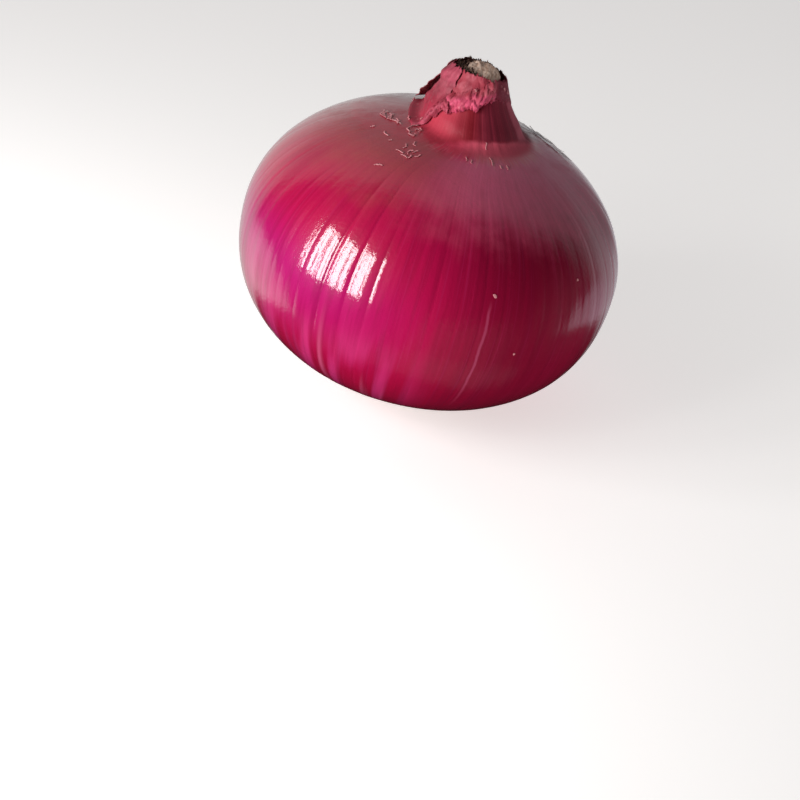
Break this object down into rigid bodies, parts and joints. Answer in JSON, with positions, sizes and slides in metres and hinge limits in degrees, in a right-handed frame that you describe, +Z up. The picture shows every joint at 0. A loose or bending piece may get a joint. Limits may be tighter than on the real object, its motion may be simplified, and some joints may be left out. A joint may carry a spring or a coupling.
{
  "type": "red onion bulb",
  "caption": "Whole red onion bulb with glossy ribbed skin, torn dry skin round a cut neck, dried leaf ends and a root plate with dried roots. It stands on the root plate.",
  "frame": {"origin": "middle of the flat spot under the root plate, which the onion rests on", "axes": "+Z up along the bulb's own axis through the neck, -Y towards the side that the picture shows, +X to the right in that view"},
  "size_m": [0.0884, 0.088, 0.0811],
  "materials": {
    "bulb_skin": "glossy crimson to maroon onion skin",
    "dry_skin": "dry pink-red papery skin, dull",
    "dry_skin_flap": "dry brown-pink papery skin, dull",
    "dried_leaf": "dried fibrous leaf ends, rough",
    "root_cork": "corky root plate and dried roots, rough"
  },
  "bodies": {
    "root": {"bulb": "bulb_skin", "neck_collar": "dry_skin", "skin_flap": "dry_skin_flap", "neck_tip": "dried_leaf", "root_plate": "root_cork"}
  },
  "joints": []
}
